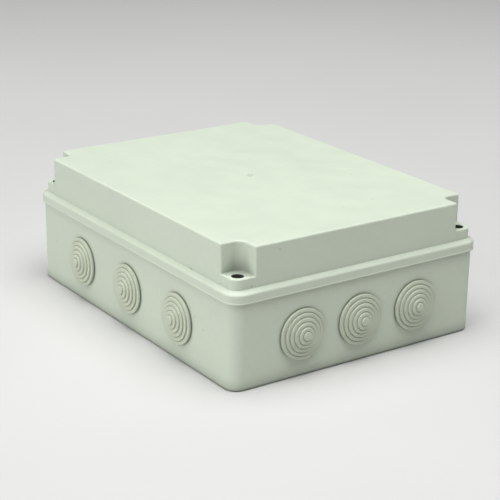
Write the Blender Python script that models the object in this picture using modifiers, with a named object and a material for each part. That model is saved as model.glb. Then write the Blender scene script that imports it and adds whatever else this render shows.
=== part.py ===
"""Surface-mounted electrical junction box with a deep screwed lid.

A moulded base carries twelve stepped rubber cable grommets, three on each side wall.
A deep lid laps over the base rim with a short skirt and seals on a gasket. Each corner
of the lid is cut down to a pad, and a captive screw sits sunk in the pad.

Units are metres and +Z points out of the wall that the box is fixed to. The origin is
the centre of the flat back face, and the long side runs along X. Outlines are given by
their inset from the edge of the lid's flange, which is the widest part of the mouldings.
"""
import math

import bmesh
import bpy
from mathutils import Matrix, Vector

MM = 0.001
GAP = 0.3 * MM                      # clearance between pieces that seat on each other
PAST = 2.0 * MM                     # how far a cutter runs past the face that it opens

# Flange of the lid, the reference for every outline
FLANGE_LENGTH = 242.0 * MM
FLANGE_WIDTH = 190.0 * MM
FLANGE_RADIUS = 10.4 * MM
CORNER_STEPS = 5
CORNERS = ((-1, -1), (1, -1), (1, 1), (-1, 1))

# Base moulding
BASE_INSET = 1.8 * MM
BASE_WALL = 2.8 * MM
FLOOR_THICKNESS = 3.0 * MM
BASE_EDGE_RADIUS = 2.0 * MM
BASE_EDGE_STEPS = 3
RIM_TOP = 57.3 * MM

# Lid moulding, heights above the back face
SKIRT_BOTTOM = 55.2 * MM
FLANGE_SIDE_TOP = 60.9 * MM
FLANGE_SLOPE_RISE = 1.7 * MM
FLANGE_SLOPE_RUN = 3.8 * MM
LID_TOP = 88.0 * MM
LID_INSET = 3.7 * MM
LID_WALL = 2.5 * MM
LID_CORNER_RADIUS = 8.0 * MM
LID_EDGE_RADIUS = 0.8 * MM
LID_EDGE_STEPS = 2
RIB_BOTTOM = 55.8 * MM              # locating rib that stands just inside the base wall
CHANNEL_TOP = 59.4 * MM             # roof of the channel that takes the base rim
SKIRT_THICKNESS = BASE_INSET - GAP
RIB_INSET = BASE_INSET + BASE_WALL + GAP

# Corner pockets and pads of the lid
POCKET_INSET = 18.2 * MM
POCKET_RADIUS = 5.5 * MM
PAD_TOP = 69.2 * MM
PAD_THICKNESS = 2.5 * MM

# Lid screws (M4) with their sealing rings, seats and inserts
SCREW_INSET = 10.9 * MM
SCREW_X = FLANGE_LENGTH / 2 - SCREW_INSET
SCREW_Y = FLANGE_WIDTH / 2 - SCREW_INSET
HEAD_BORE_RADIUS = 4.05 * MM
SHANK_BORE_RADIUS = 2.3 * MM
TUBE_RADIUS = 5.8 * MM
SEAT_THICKNESS = 2.5 * MM
SEAT_TOP = RIB_BOTTOM + SEAT_THICKNESS
RING_SECTION_RADIUS = 0.7 * MM
RING_RADIUS = 2.95 * MM
RING_CENTRE = SEAT_TOP + GAP + RING_SECTION_RADIUS
HEAD_BOTTOM = RING_CENTRE + RING_SECTION_RADIUS + GAP
HEAD_HEIGHT = 2.8 * MM
HEAD_RADIUS = 3.7 * MM
SHANK_RADIUS = 1.9 * MM
SHANK_LENGTH = 14.0 * MM
RECESS_WIDTH = 1.1 * MM
RECESS_LENGTH = 4.4 * MM
RECESS_DEPTH = 1.6 * MM

# Corner columns of the base and their threaded inserts
COLUMN_TOP = RIB_BOTTOM - GAP
COLUMN_RADIUS = 5.6 * MM
WEB_THICKNESS = 2.4 * MM
WEB_TOP = 50.0 * MM
INSERT_RADIUS = 2.9 * MM
INSERT_BORE_RADIUS = SHANK_RADIUS + GAP
INSERT_LENGTH = 7.0 * MM
INSERT_TOP = COLUMN_TOP - GAP
INSERT_POCKET_BOTTOM = INSERT_TOP - INSERT_LENGTH - GAP
TIP_HOLE_RADIUS = 2.4 * MM
TIP_HOLE_BOTTOM = 42.0 * MM

# Wall-fixing bosses, their caps, and the stand-offs for a mounting plate
FIXING_X = 95.0 * MM
FIXING_Y = 70.0 * MM
FIXING_BOSS_RADIUS = 7.0 * MM
FIXING_BOSS_TOP = 9.0 * MM
FIXING_HOLE_RADIUS = 2.6 * MM
FIXING_HEAD_RADIUS = 5.2 * MM
FIXING_SEAT = 4.5 * MM
STANDOFF_X = 78.0 * MM
STANDOFF_Y = 50.0 * MM
STANDOFF_RADIUS = 4.0 * MM
STANDOFF_TOP = 15.0 * MM
STANDOFF_HOLE_RADIUS = 1.5 * MM
STANDOFF_HOLE_BOTTOM = 5.0 * MM

# Cable grommets
GROMMET_HEIGHT = SKIRT_BOTTOM / 2   # centred on the wall that shows below the skirt
GROMMET_PITCH_LONG = 59.6 * MM
GROMMET_PITCH_SHORT = 43.5 * MM
GROMMET_RADIUS = 16.2 * MM
GROMMET_LEVELS = 6
GROMMET_STEP_RUN = 2.7 * MM
GROMMET_STEP_RISE = 1.04 * MM
GROMMET_FLANGE = 1.1 * MM
GROMMET_NECK_RADIUS = 14.1 * MM
GROMMET_LIP_RADIUS = 15.4 * MM
GROMMET_LIP = 1.2 * MM
GROMMET_SKIN = 1.4 * MM
ENTRY_RADIUS = 14.6 * MM

GROMMET_STEPS = 16
ENTRY_STEPS = 20
ROUND_STEPS = 16
RING_SECTION_STEPS = 6
SHARP_ANGLE = math.radians(35)

# Name: colour (linear), roughness, metallic
FINISHES = {
    "box_grey": ((0.617, 0.672, 0.558), 0.42, 0.0),
    "grommet_grey": ((0.575, 0.628, 0.505), 0.62, 0.0),
    "gasket_dark": ((0.030, 0.031, 0.032), 0.80, 0.0),
    "screw_steel": ((0.480, 0.490, 0.500), 0.32, 1.0),
    "insert_brass": ((0.610, 0.440, 0.180), 0.35, 1.0),
    "cap_grey": ((0.500, 0.540, 0.450), 0.50, 0.0),
}

WALLS = {
    "front": (0.0, FLANGE_WIDTH / 2 - BASE_INSET, GROMMET_PITCH_LONG),
    "right": (math.pi / 2, FLANGE_LENGTH / 2 - BASE_INSET, GROMMET_PITCH_SHORT),
    "back": (math.pi, FLANGE_WIDTH / 2 - BASE_INSET, GROMMET_PITCH_LONG),
    "left": (-math.pi / 2, FLANGE_LENGTH / 2 - BASE_INSET, GROMMET_PITCH_SHORT),
}


def clear_scene():
    """Remove every object that the scene starts with."""
    for item in list(bpy.data.objects):
        bpy.data.objects.remove(item, do_unlink=True)


def make_collection(name):
    """Make a collection under the scene's own."""
    made = bpy.data.collections.new(name)
    bpy.context.scene.collection.children.link(made)
    return made


def make_material(name):
    """Make the named finish as a Principled BSDF material."""
    colour, roughness, metallic = FINISHES[name]
    material = bpy.data.materials.new(name)
    material.use_nodes = True
    shader = material.node_tree.nodes["Principled BSDF"]
    shader.inputs["Base Color"].default_value = (*colour, 1.0)
    shader.inputs["Roughness"].default_value = roughness
    shader.inputs["Metallic"].default_value = metallic
    material.diffuse_color = (*colour, 1.0)
    return material


def mesh_of(name, bm):
    """Turn a bmesh into a mesh and free it."""
    mesh = bpy.data.meshes.new(name)
    bm.to_mesh(mesh)
    bm.free()
    return mesh


def place(name, mesh, finish):
    """Add a mesh to the box as a visible piece."""
    piece = bpy.data.objects.new(name, mesh)
    PARTS.objects.link(piece)
    piece.data.materials.clear()
    piece.data.materials.append(MATERIALS[finish])
    return piece


def tool(name, bm):
    """Add a hidden shape that cuts, or is joined to, a moulding."""
    helper = bpy.data.objects.new(name, mesh_of(name, bm))
    CUTTERS.objects.link(helper)
    helper.hide_render = True
    helper.display_type = "WIRE"
    return helper


def combine(piece, operation, helper):
    """Add an exact Boolean modifier that uses helper on piece."""
    modifier = piece.modifiers.new(helper.name, "BOOLEAN")
    modifier.operation = operation
    modifier.solver = "EXACT"
    modifier.object = helper


def is_upright(edge):
    """Tell whether an edge runs along Z."""
    rise = abs(edge.verts[0].co.z - edge.verts[1].co.z)
    return rise > 0.99 * edge.calc_length()


def add_prism(bm, centre, half_x, half_y, low, high, radius=0.0):
    """Add an upright box to bm, its upright edges rounded by radius."""
    middle = Matrix.Translation((centre[0], centre[1], (low + high) / 2))
    size = Matrix.Diagonal((2 * half_x, 2 * half_y, high - low, 1.0))
    made = bmesh.ops.create_cube(bm, size=1.0, matrix=middle @ size)
    if radius > 0.0:
        edges = {edge for vert in made["verts"] for edge in vert.link_edges}
        upright = [edge for edge in edges if is_upright(edge)]
        bmesh.ops.bevel(bm, geom=upright, offset=radius, segments=CORNER_STEPS,
                        profile=0.5, affect="EDGES")


def outline_prism(inset, low, high, radius=None):
    """Make a bmesh of the box outline at an inset from the flange's edge."""
    bm = bmesh.new()
    if radius is None:
        radius = FLANGE_RADIUS - inset
    half_x = FLANGE_LENGTH / 2 - inset
    half_y = FLANGE_WIDTH / 2 - inset
    add_prism(bm, (0.0, 0.0), half_x, half_y, low, high, radius)
    return bm


def add_cylinder(bm, centre, radius, low, high, steps=ROUND_STEPS):
    """Add an upright cylinder to bm."""
    middle = Matrix.Translation((centre[0], centre[1], (low + high) / 2))
    bmesh.ops.create_cone(bm, cap_ends=True, segments=steps, radius1=radius,
                          radius2=radius, depth=high - low, matrix=middle)


def at_corners(x, y):
    """Give the four places at plus and minus x and y."""
    return [(sx * x, sy * y) for sx, sy in CORNERS]


def bevel_level(bm, level, radius, steps):
    """Round the edges that lie flat at a height."""
    flat = [edge for edge in bm.edges
            if all(abs(vert.co.z - level) < 0.01 * MM for vert in edge.verts)]
    bmesh.ops.bevel(bm, geom=flat, offset=radius, segments=steps, profile=0.5,
                    affect="EDGES")


def turned_mesh(name, profile, steps):
    """Turn (radius, height) points about Z with a Screw modifier and keep the mesh."""
    line = bpy.data.meshes.new(name + "_profile")
    points = [(radius, 0.0, height) for radius, height in profile]
    links = [(index, index + 1) for index in range(len(points) - 1)]
    line.from_pydata(points, links, [])
    blank = bpy.data.objects.new(name + "_profile", line)
    CUTTERS.objects.link(blank)
    screw = blank.modifiers.new("turn", "SCREW")
    screw.angle = 2 * math.pi
    screw.steps = steps
    screw.render_steps = steps
    screw.use_merge_vertices = True
    screw.merge_threshold = 0.00001
    depsgraph = bpy.context.evaluated_depsgraph_get()
    mesh = bpy.data.meshes.new_from_object(blank.evaluated_get(depsgraph))
    mesh.name = name
    bpy.data.objects.remove(blank, do_unlink=True)
    mesh.shade_smooth()
    mesh.set_sharp_from_angle(angle=SHARP_ANGLE)
    return mesh


def wall_places(wall):
    """Give the three grommet centres on a wall, each with its turn about Z."""
    turn, distance, pitch = WALLS[wall]
    for step in (-1, 0, 1):
        yield Matrix.Rotation(turn, 4, "Z") @ Vector((step * pitch, -distance, GROMMET_HEIGHT))


# Base ---------------------------------------------------------------------------------

def entry_holes():
    """Make the twelve round holes through the side walls."""
    bm = bmesh.new()
    for wall in WALLS:
        turn = Matrix.Rotation(WALLS[wall][0], 4, "Z") @ Matrix.Rotation(math.pi / 2, 4, "X")
        for centre in wall_places(wall):
            bmesh.ops.create_cone(bm, cap_ends=True, segments=ENTRY_STEPS, radius1=ENTRY_RADIUS,
                                  radius2=ENTRY_RADIUS, depth=2 * (BASE_WALL + PAST),
                                  matrix=Matrix.Translation(centre) @ turn)
    return tool("entry_holes", bm)


def base_posts():
    """Make the lid-screw columns, the wall-fixing bosses and the stand-offs."""
    bm = bmesh.new()
    root = FLOOR_THICKNESS / 2
    for place_xy in at_corners(SCREW_X, SCREW_Y):
        add_cylinder(bm, place_xy, COLUMN_RADIUS, root, COLUMN_TOP)
    for place_xy in at_corners(FIXING_X, FIXING_Y):
        add_cylinder(bm, place_xy, FIXING_BOSS_RADIUS, root, FIXING_BOSS_TOP)
    for place_xy in at_corners(STANDOFF_X, STANDOFF_Y):
        add_cylinder(bm, place_xy, STANDOFF_RADIUS, root, STANDOFF_TOP)
    return tool("base_posts", bm)


def base_webs(along_x):
    """Make the webs that tie each column to one pair of walls."""
    bm = bmesh.new()
    reach = SCREW_INSET - BASE_INSET - BASE_WALL / 2
    half_x, half_y = (reach / 2, WEB_THICKNESS / 2) if along_x else (WEB_THICKNESS / 2, reach / 2)
    for sx, sy in CORNERS:
        x = sx * (SCREW_X + (reach / 2 if along_x else 0.0))
        y = sy * (SCREW_Y + (0.0 if along_x else reach / 2))
        add_prism(bm, (x, y), half_x, half_y, FLOOR_THICKNESS / 2, WEB_TOP)
    return tool("base_webs_x" if along_x else "base_webs_y", bm)


def base_wide_bores():
    """Make the insert pockets and the counterbores of the wall fixings."""
    bm = bmesh.new()
    pocket_radius = INSERT_RADIUS + GAP
    for place_xy in at_corners(SCREW_X, SCREW_Y):
        add_cylinder(bm, place_xy, pocket_radius, INSERT_POCKET_BOTTOM, COLUMN_TOP + PAST)
    for place_xy in at_corners(FIXING_X, FIXING_Y):
        add_cylinder(bm, place_xy, FIXING_HEAD_RADIUS, FIXING_SEAT, FIXING_BOSS_TOP + PAST)
    return tool("base_wide_bores", bm)


def base_narrow_bores():
    """Make the room for the screw tips, the wall-fixing holes and the stand-off pilots."""
    bm = bmesh.new()
    for place_xy in at_corners(SCREW_X, SCREW_Y):
        add_cylinder(bm, place_xy, TIP_HOLE_RADIUS, TIP_HOLE_BOTTOM, INSERT_POCKET_BOTTOM + PAST)
    for place_xy in at_corners(FIXING_X, FIXING_Y):
        add_cylinder(bm, place_xy, FIXING_HOLE_RADIUS, -PAST, FIXING_SEAT + PAST)
    for place_xy in at_corners(STANDOFF_X, STANDOFF_Y):
        add_cylinder(bm, place_xy, STANDOFF_HOLE_RADIUS, STANDOFF_HOLE_BOTTOM, STANDOFF_TOP + PAST)
    return tool("base_narrow_bores", bm)


def make_base():
    """Build the base moulding."""
    shell = outline_prism(BASE_INSET, 0.0, RIM_TOP)
    bevel_level(shell, 0.0, BASE_EDGE_RADIUS, BASE_EDGE_STEPS)
    base = place("base_box", mesh_of("base_box", shell), "box_grey")
    hollow = outline_prism(BASE_INSET + BASE_WALL, FLOOR_THICKNESS, RIM_TOP + PAST)
    combine(base, "DIFFERENCE", tool("base_hollow", hollow))
    combine(base, "UNION", base_posts())
    combine(base, "UNION", base_webs(along_x=True))
    combine(base, "UNION", base_webs(along_x=False))
    combine(base, "DIFFERENCE", base_wide_bores())
    combine(base, "DIFFERENCE", base_narrow_bores())
    combine(base, "DIFFERENCE", entry_holes())


# Lid ----------------------------------------------------------------------------------

def flange_block():
    """Make the flange, upright at its side and sloping up to the lid's wall."""
    bm = outline_prism(0.0, SKIRT_BOTTOM, FLANGE_SIDE_TOP)
    bm.faces.ensure_lookup_table()
    top = max(bm.faces, key=lambda face: face.calc_center_median().z)
    bmesh.ops.inset_region(bm, faces=[top], thickness=FLANGE_SLOPE_RUN, use_even_offset=True)
    bmesh.ops.translate(bm, verts=list(top.verts), vec=(0.0, 0.0, FLANGE_SLOPE_RISE))
    return bm


def corner_blocks(name, inset, low, radius):
    """Make four blocks that fill the lid's corners from an inset outwards."""
    bm = bmesh.new()
    half = (inset + PAST + radius) / 2
    x = FLANGE_LENGTH / 2 - inset + half
    y = FLANGE_WIDTH / 2 - inset + half
    for place_xy in at_corners(x, y):
        add_prism(bm, place_xy, half, half, low, LID_TOP + PAST, radius)
    return tool(name, bm)


def lid_crown():
    """Make the raised middle of the lid, with the corner pockets taken out."""
    bm = outline_prism(LID_INSET, FLANGE_SIDE_TOP - PAST / 2, LID_TOP, LID_CORNER_RADIUS)
    bevel_level(bm, LID_TOP, LID_EDGE_RADIUS, LID_EDGE_STEPS)
    crown = tool("lid_crown", bm)
    combine(crown, "DIFFERENCE", corner_blocks("lid_pockets", POCKET_INSET, PAD_TOP, POCKET_RADIUS))
    return crown


def lid_cavity():
    """Make the hollow of the lid, less the pocket walls and the screw tubes."""
    inset = LID_INSET + LID_WALL
    low = SKIRT_BOTTOM - PAST
    cavity = tool("lid_cavity", outline_prism(inset, low, LID_TOP - LID_WALL,
                                              LID_CORNER_RADIUS - LID_WALL))
    walls = corner_blocks("lid_pocket_walls", POCKET_INSET + LID_WALL, PAD_TOP - PAD_THICKNESS,
                          POCKET_RADIUS + LID_WALL)
    combine(cavity, "DIFFERENCE", walls)
    tubes = bmesh.new()
    for place_xy in at_corners(SCREW_X, SCREW_Y):
        add_cylinder(tubes, place_xy, TUBE_RADIUS, low - PAST, LID_TOP)
    combine(cavity, "DIFFERENCE", tool("lid_tubes", tubes))
    return cavity


def lid_channel():
    """Make the channel between the skirt and the locating rib."""
    channel = tool("lid_channel", outline_prism(SKIRT_THICKNESS, RIB_BOTTOM - PAST, CHANNEL_TOP))
    core = outline_prism(RIB_INSET, RIB_BOTTOM - 2 * PAST, CHANNEL_TOP + PAST)
    combine(channel, "DIFFERENCE", tool("lid_channel_core", core))
    return channel


def lid_bores(name, radius, low, high):
    """Make one bore for each lid screw."""
    bm = bmesh.new()
    for place_xy in at_corners(SCREW_X, SCREW_Y):
        add_cylinder(bm, place_xy, radius, low, high, ENTRY_STEPS)
    return tool(name, bm)


def make_lid():
    """Build the lid moulding."""
    lid = place("lid", mesh_of("lid", flange_block()), "box_grey")
    combine(lid, "UNION", lid_crown())
    skirt_mouth = outline_prism(SKIRT_THICKNESS, SKIRT_BOTTOM - PAST, RIB_BOTTOM)
    combine(lid, "DIFFERENCE", tool("lid_skirt_mouth", skirt_mouth))
    combine(lid, "DIFFERENCE", lid_channel())
    combine(lid, "DIFFERENCE", lid_cavity())
    combine(lid, "DIFFERENCE", lid_bores("lid_head_bores", HEAD_BORE_RADIUS, SEAT_TOP, LID_TOP))
    combine(lid, "DIFFERENCE", lid_bores("lid_shank_bores", SHANK_BORE_RADIUS,
                                         RIB_BOTTOM - PAST, SEAT_TOP + PAST))


def make_gasket():
    """Build the ring between the base rim and the roof of the lid's channel."""
    margin = 0.1 * MM
    low = RIM_TOP + GAP
    high = CHANNEL_TOP - GAP
    gasket = place("lid_gasket", mesh_of("lid_gasket", outline_prism(BASE_INSET + margin, low, high)),
                   "gasket_dark")
    inner = outline_prism(BASE_INSET + BASE_WALL - margin, low - PAST, high + PAST)
    combine(gasket, "DIFFERENCE", tool("gasket_inner", inner))


# Small pieces -------------------------------------------------------------------------

def grommet_profile():
    """Give the outline of a grommet, height zero at the wall's outer face."""
    points = [(0.0, GAP + GROMMET_FLANGE + (GROMMET_LEVELS - 1) * GROMMET_STEP_RISE)]
    for level in reversed(range(GROMMET_LEVELS)):
        radius = GROMMET_RADIUS - level * GROMMET_STEP_RUN
        top = GAP + GROMMET_FLANGE + level * GROMMET_STEP_RISE
        foot = top - GROMMET_STEP_RISE if level else GAP
        points += [(radius, top), (radius, foot)]
    lip_top = -BASE_WALL - GAP
    lip_bottom = lip_top - GROMMET_LIP
    cone_height = points[0][1] - GROMMET_SKIN
    points += [
        (GROMMET_NECK_RADIUS, GAP),
        (GROMMET_NECK_RADIUS, lip_top),
        (GROMMET_LIP_RADIUS, lip_top),
        (GROMMET_LIP_RADIUS, lip_bottom),
        (GROMMET_NECK_RADIUS - GROMMET_SKIN, lip_bottom),
        (0.0, cone_height),
    ]
    return points


def make_grommets():
    """Build the twelve grommets, all from one turned mesh."""
    mesh = turned_mesh("grommet", grommet_profile(), GROMMET_STEPS)
    for wall in WALLS:
        for number, centre in enumerate(wall_places(wall), start=1):
            grommet = place(f"grommet_{wall}_{number}", mesh, "grommet_grey")
            grommet.location = centre
            grommet.rotation_euler = (math.pi / 2, 0.0, WALLS[wall][0])


def screw_profile():
    """Give the outline of a pan-head screw, height zero under its head."""
    crown = 0.6 * MM
    tip = 0.6 * MM
    return [
        (0.0, HEAD_HEIGHT),
        (HEAD_RADIUS - 2 * crown, HEAD_HEIGHT),
        (HEAD_RADIUS, HEAD_HEIGHT - crown),
        (HEAD_RADIUS, 0.0),
        (SHANK_RADIUS, 0.0),
        (SHANK_RADIUS, tip - SHANK_LENGTH),
        (SHANK_RADIUS - tip, -SHANK_LENGTH),
        (0.0, -SHANK_LENGTH),
    ]


def screw_recess(centre, along_x):
    """Make one arm of a screw's cross recess."""
    bm = bmesh.new()
    arms = (RECESS_LENGTH / 2, RECESS_WIDTH / 2)
    half_x, half_y = arms if along_x else arms[::-1]
    top = HEAD_BOTTOM + HEAD_HEIGHT
    add_prism(bm, centre, half_x, half_y, top - RECESS_DEPTH, top + PAST)
    return bm


def make_screws():
    """Build the lid screws, each with its origin on its own axis."""
    mesh = turned_mesh("lid_screw", screw_profile(), ROUND_STEPS)
    for number, centre in enumerate(at_corners(SCREW_X, SCREW_Y), start=1):
        screw = place(f"lid_screw_{number}", mesh, "screw_steel")
        screw.location = (*centre, HEAD_BOTTOM)
        for axis in ("x", "y"):
            arm = screw_recess(centre, along_x=axis == "x")
            combine(screw, "DIFFERENCE", tool(f"recess_{axis}_{number}", arm))


def ring_profile():
    """Give the closed round section of a sealing ring, height zero at its middle."""
    points = []
    for step in range(RING_SECTION_STEPS + 1):
        angle = math.pi / 2 - 2 * math.pi * step / RING_SECTION_STEPS
        points.append((RING_RADIUS + RING_SECTION_RADIUS * math.cos(angle),
                       RING_SECTION_RADIUS * math.sin(angle)))
    return points


def make_rings():
    """Build the sealing rings that sit under the screw heads."""
    mesh = turned_mesh("screw_ring", ring_profile(), ROUND_STEPS)
    for number, centre in enumerate(at_corners(SCREW_X, SCREW_Y), start=1):
        ring = place(f"screw_ring_{number}", mesh, "gasket_dark")
        ring.location = (*centre, RING_CENTRE)


def insert_profile():
    """Give the closed section of a threaded insert, height zero at its top."""
    return [
        (INSERT_BORE_RADIUS, 0.0),
        (INSERT_RADIUS, 0.0),
        (INSERT_RADIUS, -INSERT_LENGTH),
        (INSERT_BORE_RADIUS, -INSERT_LENGTH),
        (INSERT_BORE_RADIUS, 0.0),
    ]


def make_inserts():
    """Build the brass inserts in the tops of the base columns."""
    mesh = turned_mesh("screw_insert", insert_profile(), ROUND_STEPS)
    for number, centre in enumerate(at_corners(SCREW_X, SCREW_Y), start=1):
        insert = place(f"screw_insert_{number}", mesh, "insert_brass")
        insert.location = (*centre, INSERT_TOP)


def cap_profile():
    """Give the outline of a fixing cap, height zero under its brim."""
    brim = 6.6 * MM
    brim_height = 1.4 * MM
    edge = 0.7 * MM
    plug_radius = FIXING_HEAD_RADIUS - GAP
    plug_depth = 2.6 * MM
    plug_wall = 1.0 * MM
    return [
        (0.0, brim_height),
        (brim - edge, brim_height),
        (brim, brim_height - edge),
        (brim, 0.0),
        (plug_radius, 0.0),
        (plug_radius, -plug_depth),
        (plug_radius - plug_wall, -plug_depth),
        (plug_radius - plug_wall, 0.0),
        (0.0, 0.0),
    ]


def make_caps():
    """Build the insulating caps on the wall-fixing bosses."""
    mesh = turned_mesh("fixing_cap", cap_profile(), ROUND_STEPS)
    for number, centre in enumerate(at_corners(FIXING_X, FIXING_Y), start=1):
        cap = place(f"fixing_cap_{number}", mesh, "cap_grey")
        cap.location = (*centre, FIXING_BOSS_TOP + GAP)


clear_scene()
PARTS = make_collection("junction_box")
CUTTERS = make_collection("cutters")
MATERIALS = {finish: make_material(finish) for finish in FINISHES}
make_base()
make_lid()
make_gasket()
make_grommets()
make_screws()
make_rings()
make_inserts()
make_caps()
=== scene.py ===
"""Looks of a surface-mounted electrical junction box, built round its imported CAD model.

Each CAD node is stood for by a piece of the same outer size in the same place, with the
rounded edges, fillets, threads and moulding detail that the plain solid leaves out. The
places come from the CAD boxes, and the section sizes below are those of the mouldings.

Units are metres and +Z points out of the wall that the box is fixed to. An outline of the
box is given by its inset from the edge of the lid's flange. One corner is drawn as points
of (inset from the short side's wall, inset from the long side's wall), and is carried
round to the other three.
"""
import math

import bmesh
import bpy
from mathutils import Matrix, Vector


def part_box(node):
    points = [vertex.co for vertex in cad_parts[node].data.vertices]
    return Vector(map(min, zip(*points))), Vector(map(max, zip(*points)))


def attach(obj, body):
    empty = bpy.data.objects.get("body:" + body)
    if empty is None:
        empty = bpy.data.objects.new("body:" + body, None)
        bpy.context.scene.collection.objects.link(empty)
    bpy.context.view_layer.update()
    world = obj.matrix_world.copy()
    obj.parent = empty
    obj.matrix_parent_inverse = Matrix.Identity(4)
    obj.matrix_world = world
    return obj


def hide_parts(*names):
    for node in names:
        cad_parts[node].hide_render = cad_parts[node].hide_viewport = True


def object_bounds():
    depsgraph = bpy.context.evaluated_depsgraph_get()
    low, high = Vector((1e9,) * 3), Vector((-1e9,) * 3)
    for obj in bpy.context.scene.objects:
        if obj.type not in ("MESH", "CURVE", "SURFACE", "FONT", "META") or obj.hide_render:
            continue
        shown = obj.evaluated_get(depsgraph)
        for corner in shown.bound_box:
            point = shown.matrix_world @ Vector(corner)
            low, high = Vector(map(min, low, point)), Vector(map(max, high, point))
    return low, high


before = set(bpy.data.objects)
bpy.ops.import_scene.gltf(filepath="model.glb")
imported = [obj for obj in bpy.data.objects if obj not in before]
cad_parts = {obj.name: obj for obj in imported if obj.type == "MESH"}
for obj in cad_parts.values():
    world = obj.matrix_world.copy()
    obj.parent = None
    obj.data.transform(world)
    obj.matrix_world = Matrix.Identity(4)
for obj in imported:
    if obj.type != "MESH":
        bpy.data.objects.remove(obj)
CAD_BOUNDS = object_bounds()

MM = 0.001
GAP = 0.3 * MM  # between pieces that seat on each other
PAST = 1.0 * MM  # how far a cutter runs past the face that it opens
CORNERS = ((1, 1), (-1, 1), (-1, -1), (1, -1))  # counter-clockwise from above
WALLS = {"front": 0.0, "right": math.pi / 2, "back": math.pi, "left": -math.pi / 2}

# Heights and half sizes of the mouldings, from the frame
LID_LOW, LID_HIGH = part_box("lid")
BASE_LOW, BASE_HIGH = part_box("base_box")
HALF_LENGTH = LID_HIGH.x
HALF_WIDTH = LID_HIGH.y
SKIRT_BOTTOM = LID_LOW.z
LID_TOP = LID_HIGH.z
RIM_TOP = BASE_HIGH.z
BASE_INSET = LID_HIGH.x - BASE_HIGH.x

# Lid
FLANGE_RADIUS = 10.4 * MM
FLANGE_SIDE_TOP = 60.9 * MM
SLOPE_TOP = 62.6 * MM
LID_INSET = 3.7 * MM
LID_WALL = 2.5 * MM
CROWN_EDGE = 1.35 * MM
SKIRT_THICKNESS = BASE_INSET - GAP
LIP_DRAFT = 0.2 * MM
LIP_HEIGHT = 1.0 * MM
LIP_FILLET = 0.1 * MM
SLOPE_FILLET = 1.2 * MM
FOOT_FILLET = 0.15 * MM
CHANNEL_TOP = 59.4 * MM
CHANNEL_FILLET = 0.25 * MM
RIB_INSET = 4.9 * MM
RIB_BOTTOM = 55.8 * MM
RIB_FILLET = 0.3 * MM
CAVITY_INSET = LID_INSET + LID_WALL
CAVITY_RADIUS = 5.5 * MM

# Corner pockets and pads of the lid
POCKET_INSET = 18.2 * MM
POCKET_RADIUS = 5.5 * MM
POCKET_EDGE = 1.5 * MM
POCKET_FOOT = 0.5 * MM
PAD_TOP = 69.2 * MM
PAD_THICKNESS = 2.5 * MM
PAD_RECESS = 0.4 * MM
PAD_RADIUS = 6.4 * MM
PAD_EDGE = 0.5 * MM

# Ring left by the mould's gate, in the middle of the lid's top
GATE_RADIUS = 1.9 * MM
GATE_GROOVE = 0.7 * MM
GATE_DEPTH = 0.2 * MM

# Small pits in the moulding: radius, place along the wall, height above the flange
FRONT_PIT = (0.55 * MM, 71.5 * MM, 0.4 * MM)
PAD_PIT = (0.45 * MM, -79.0 * MM, 1.2 * MM)

# Bores and tubes of the lid
HEAD_BORE = 3.8 * MM
SHANK_BORE = 2.3 * MM
SEAT_TOP = 58.3 * MM
TUBE_RADIUS = 5.8 * MM
TUBE_COLLAR = 0.5 * MM

# Base
BASE_WALL = 2.8 * MM
BASE_FLOOR = 3.0 * MM
COLUMN_RADIUS = 5.6 * MM
COLUMN_TOP = 55.5 * MM
WEB_THICKNESS = 2.4 * MM
WEB_TOP = 50.0 * MM
WEB_EDGE = 0.5 * MM
INSERT_POCKET = 3.2 * MM
TIP_HOLE = 2.4 * MM
TIP_HOLE_BOTTOM = 42.0 * MM
BOSS_RADIUS = 7.0 * MM
BOSS_TOP = 9.0 * MM
FIXING_HEAD = 5.2 * MM
FIXING_HOLE = 2.6 * MM
FIXING_SEAT = 4.5 * MM
STANDOFF_PLACE = (78.0 * MM, 50.0 * MM)
STANDOFF_RADIUS = 4.0 * MM
STANDOFF_TOP = 15.0 * MM
STANDOFF_HOLE = 1.5 * MM
STANDOFF_HOLE_BOTTOM = 5.0 * MM
ENTRY_RADIUS = 14.6 * MM

# The seal's section is a super-ellipse: nearly a rectangle, with soft corners
FOAM_POWER = 0.4

# Grommets
GROMMET_LEVELS = 6
GROMMET_RUN = 2.7 * MM
GROMMET_RISE = 0.88 * MM
GROMMET_FLANGE = 1.9 * MM
GROMMET_NECK = 14.1 * MM
GROMMET_LIP = 15.4 * MM
GROMMET_LIP_THICKNESS = 1.2 * MM
GROMMET_SKIN = 1.4 * MM
GROOVE_WIDTH = 0.8 * MM
GROOVE_DEPTH = 0.45 * MM

# Caps of the wall fixings
CAP_WALL = 1.0 * MM
NOTCH_RADIUS = 1.4 * MM
NOTCH_OUTSET = 0.5 * MM  # how far its centre lies outside the cap's edge
NOTCH_BELOW = 0.1 * MM
NOTCH_ABOVE = 0.7 * MM

# Screws and inserts (M4)
THREAD_PITCH = 0.7 * MM
THREAD_DEPTH = 0.36 * MM
SHANK_RADIUS = 1.9 * MM
HEAD_RADIUS = 3.5 * MM
DOME = 0.05 * MM  # how far the top of a head or a cap falls before it rounds over
SHANK_NECK = 1.0 * MM
SHANK_TIP = 0.6 * MM
INSERT_BORE = 2.2 * MM
INSERT_THREAD = 0.15 * MM
KNURL_DEPTH = 0.12 * MM
# The cross recess: half length, half width and height above the head's top
CROSS_LEVELS = (
    (2.5 * MM, 0.62 * MM, 0.5 * MM),
    (2.2 * MM, 0.55 * MM, 0.0),
    (1.0 * MM, 0.42 * MM, -1.6 * MM),
    (0.45 * MM, 0.42 * MM, -1.9 * MM),
)

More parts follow.
